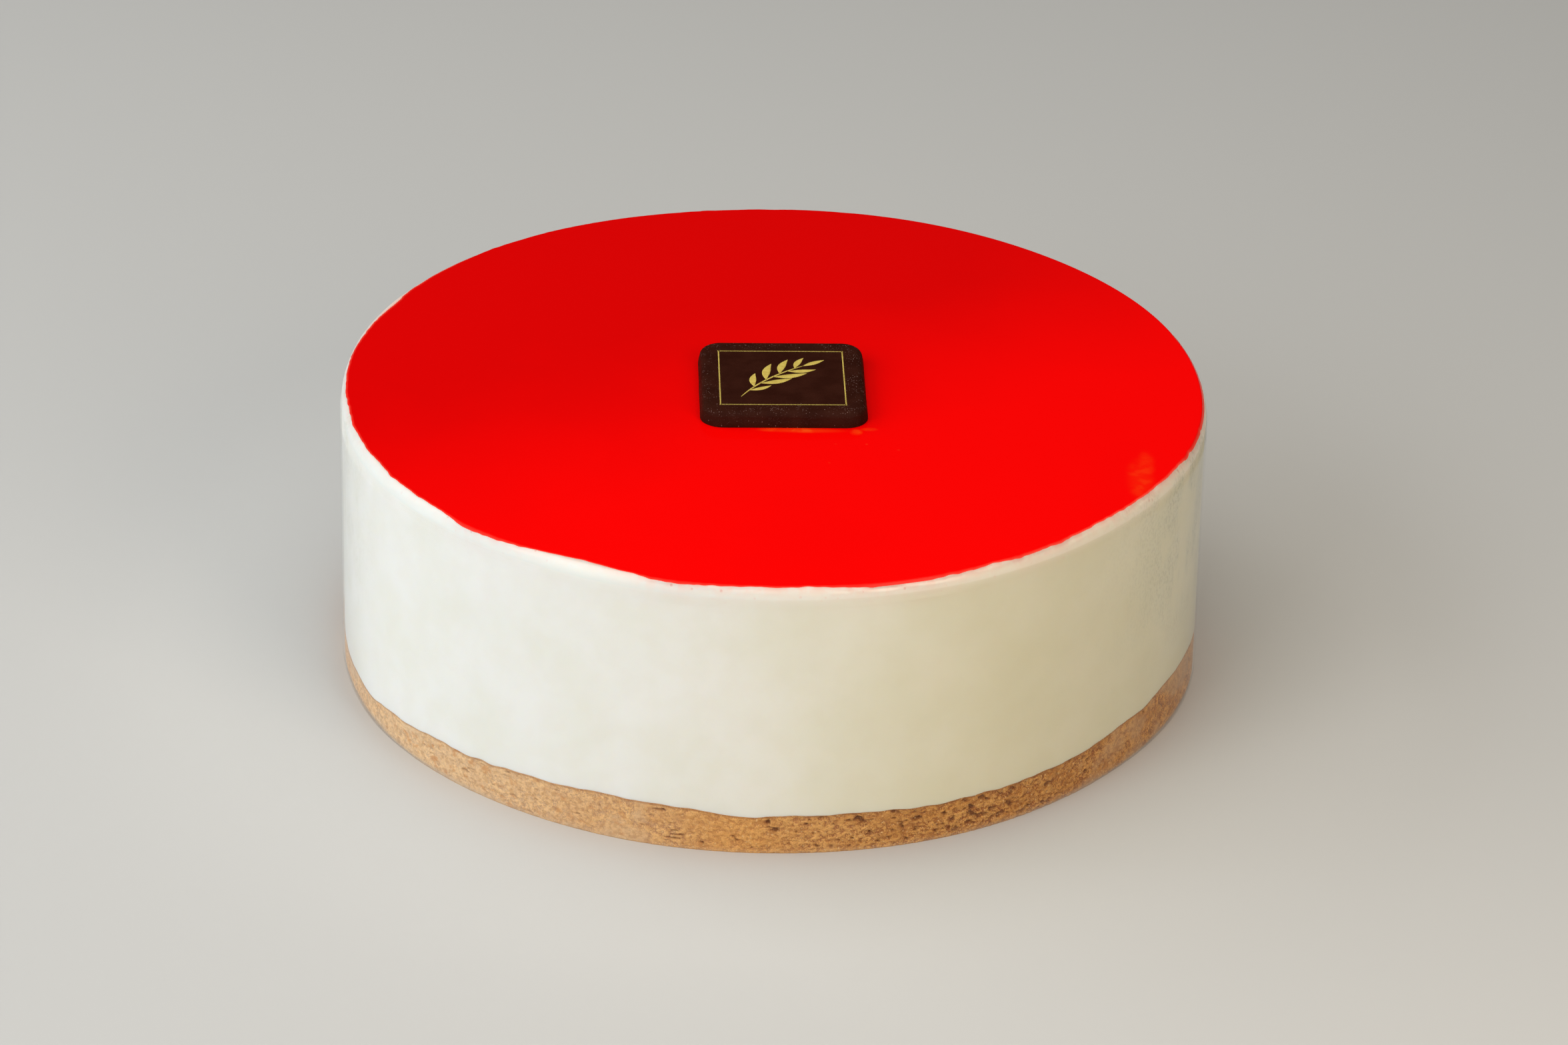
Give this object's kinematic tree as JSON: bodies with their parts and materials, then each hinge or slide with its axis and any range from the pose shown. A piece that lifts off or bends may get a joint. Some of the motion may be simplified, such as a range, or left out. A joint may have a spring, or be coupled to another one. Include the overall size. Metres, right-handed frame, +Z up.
{
  "type": "cheesecake",
  "caption": "Round cheesecake with a sponge base, tall cream filling, red jelly top and a small square chocolate plaque, wrapped in a clear film collar.",
  "frame": {"origin": "on the cake's axis, at the flat bottom of the sponge that the cake rests on", "axes": "+Z up along the cake's axis, through the sponge, the filling and the jelly; the picture looks along +Y, with +X to its right"},
  "size_m": [0.201, 0.2008, 0.0701],
  "materials": {
    "sponge": "dry, open crumb",
    "cream": "smooth, soft sheen",
    "jelly": "wet gloss",
    "chocolate": "soft gloss",
    "film": "clear and smooth",
    "gold_print": "printed, satin"
  },
  "bodies": {
    "root": {"sponge_base": "sponge", "cream_filling": "cream", "jelly_top": "jelly", "chocolate_plaque": "chocolate", "acetate_band": "film"}
  },
  "joints": []
}
